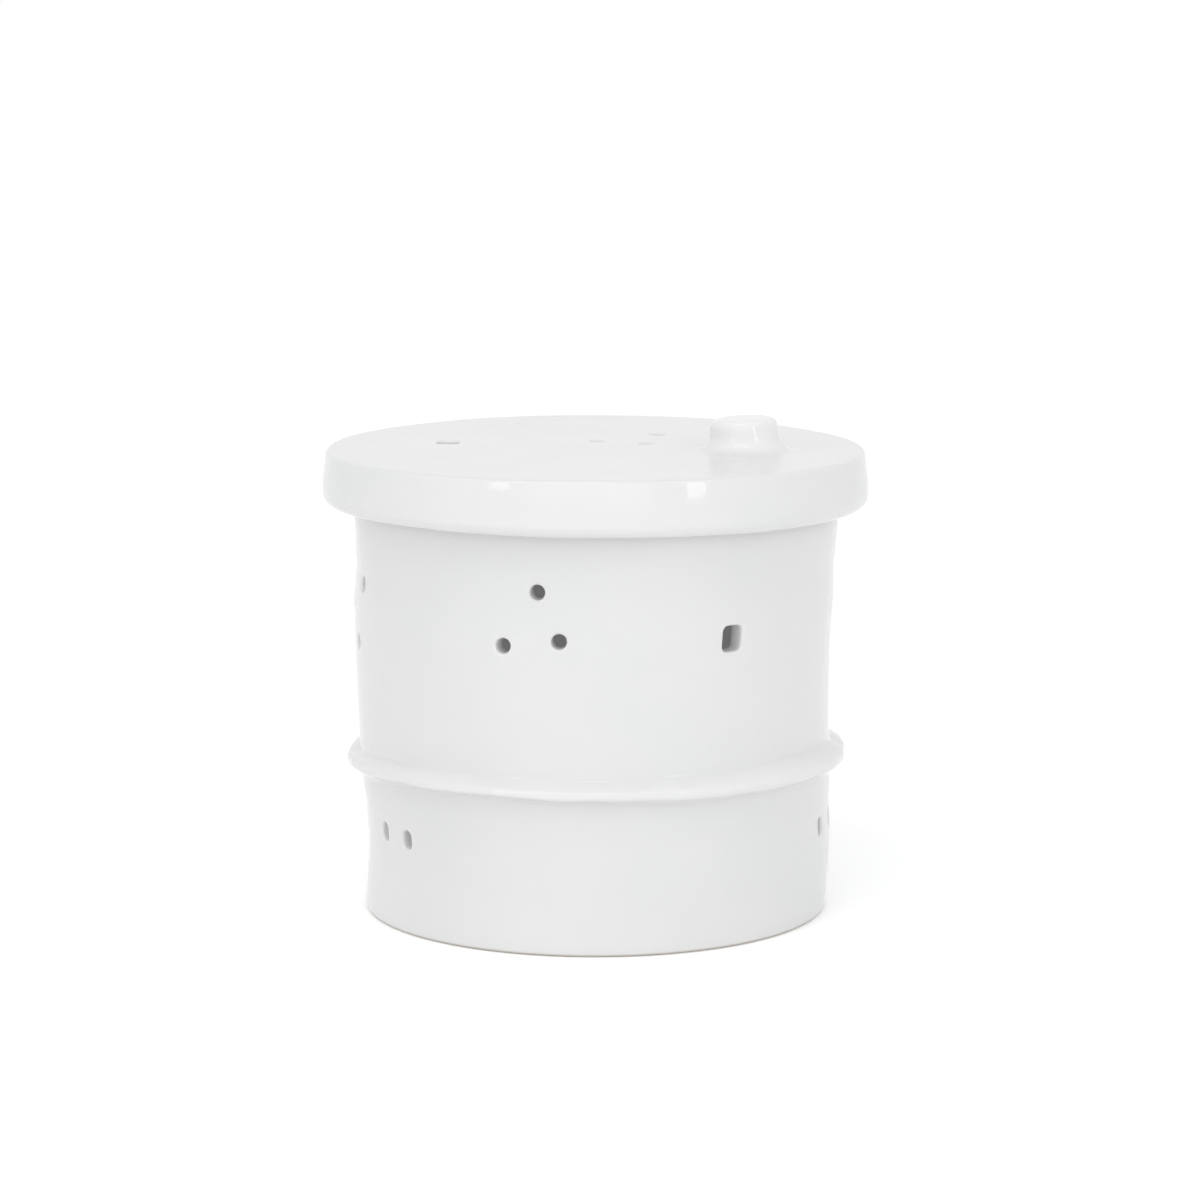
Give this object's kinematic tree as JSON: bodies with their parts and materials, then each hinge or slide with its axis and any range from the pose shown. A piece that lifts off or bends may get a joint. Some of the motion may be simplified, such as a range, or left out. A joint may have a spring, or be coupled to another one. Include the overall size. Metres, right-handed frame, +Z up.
{
  "type": "garlic keeper",
  "caption": "Round vented ceramic keeper: a beaded pot with small wall vents under a lift-off cap lid with an off-centre knob.",
  "frame": {"origin": "middle of the foot ring's resting plane, on the pot's axis", "axes": "+Z up along the pot's axis, -Y the front with a group of three round vents, +X the side where the lid's knob stands"},
  "size_m": [0.141, 0.141, 0.1283],
  "materials": {
    "pot_glaze": "glossy white glaze over white clay, bare fired clay on the foot ring and the rim's seat",
    "lid_glaze": "glossy white glaze over white clay, bare fired clay where the ceiling rests on the rim"
  },
  "bodies": {
    "pot": {"pot": "pot_glaze"},
    "lid": {"lid": "lid_glaze"}
  },
  "joints": [
    {"name": "lid_lift", "type": "slide", "parent": "pot", "child": "lid", "axis": [0, 0, 1], "range_m": [0, 0.15]}
  ]
}
